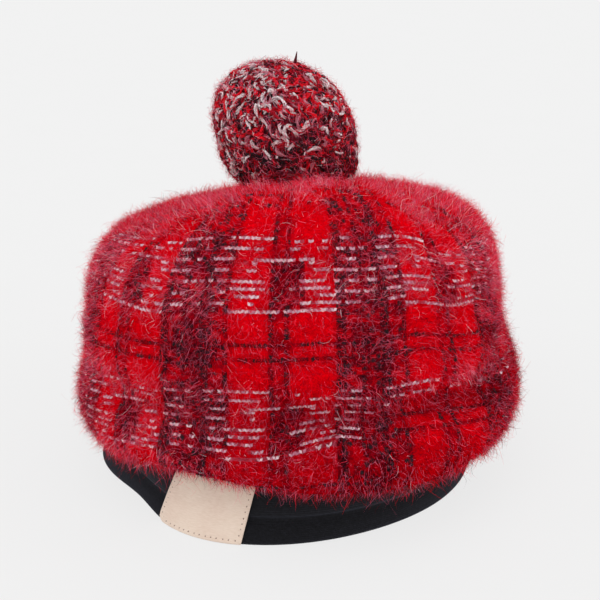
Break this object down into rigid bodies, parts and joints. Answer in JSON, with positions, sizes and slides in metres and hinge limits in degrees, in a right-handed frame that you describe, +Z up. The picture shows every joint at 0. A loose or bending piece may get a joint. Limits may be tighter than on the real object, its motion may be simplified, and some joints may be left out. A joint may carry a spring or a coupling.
{
  "type": "tam o shanter with pompom",
  "caption": "Soft knitted tam with a full brushed tartan crown, a black ribbed headband that it stands on, a sewn cloth tab and a yarn pompom on top.",
  "frame": {"origin": "on the surface the hat stands on, under the middle of its outline", "axes": "+Z up through the pompom, -Y toward the front with the label, +X to the right seen from the front"},
  "size_m": [0.2067, 0.2085, 0.1927],
  "materials": {
    "tartan_knit": "brushed long-haired knit, bright red ground with dark bars and pale chain-stitch lines",
    "black_rib": "matt black fine rib knit",
    "label_cloth": "smooth cream woven tape, left bare",
    "pompom_yarn": "thick marled yarn in red, black and off-white"
  },
  "bodies": {
    "root": {"crown": "tartan_knit", "headband": "black_rib", "label": "label_cloth", "pompom": "pompom_yarn"}
  },
  "joints": []
}
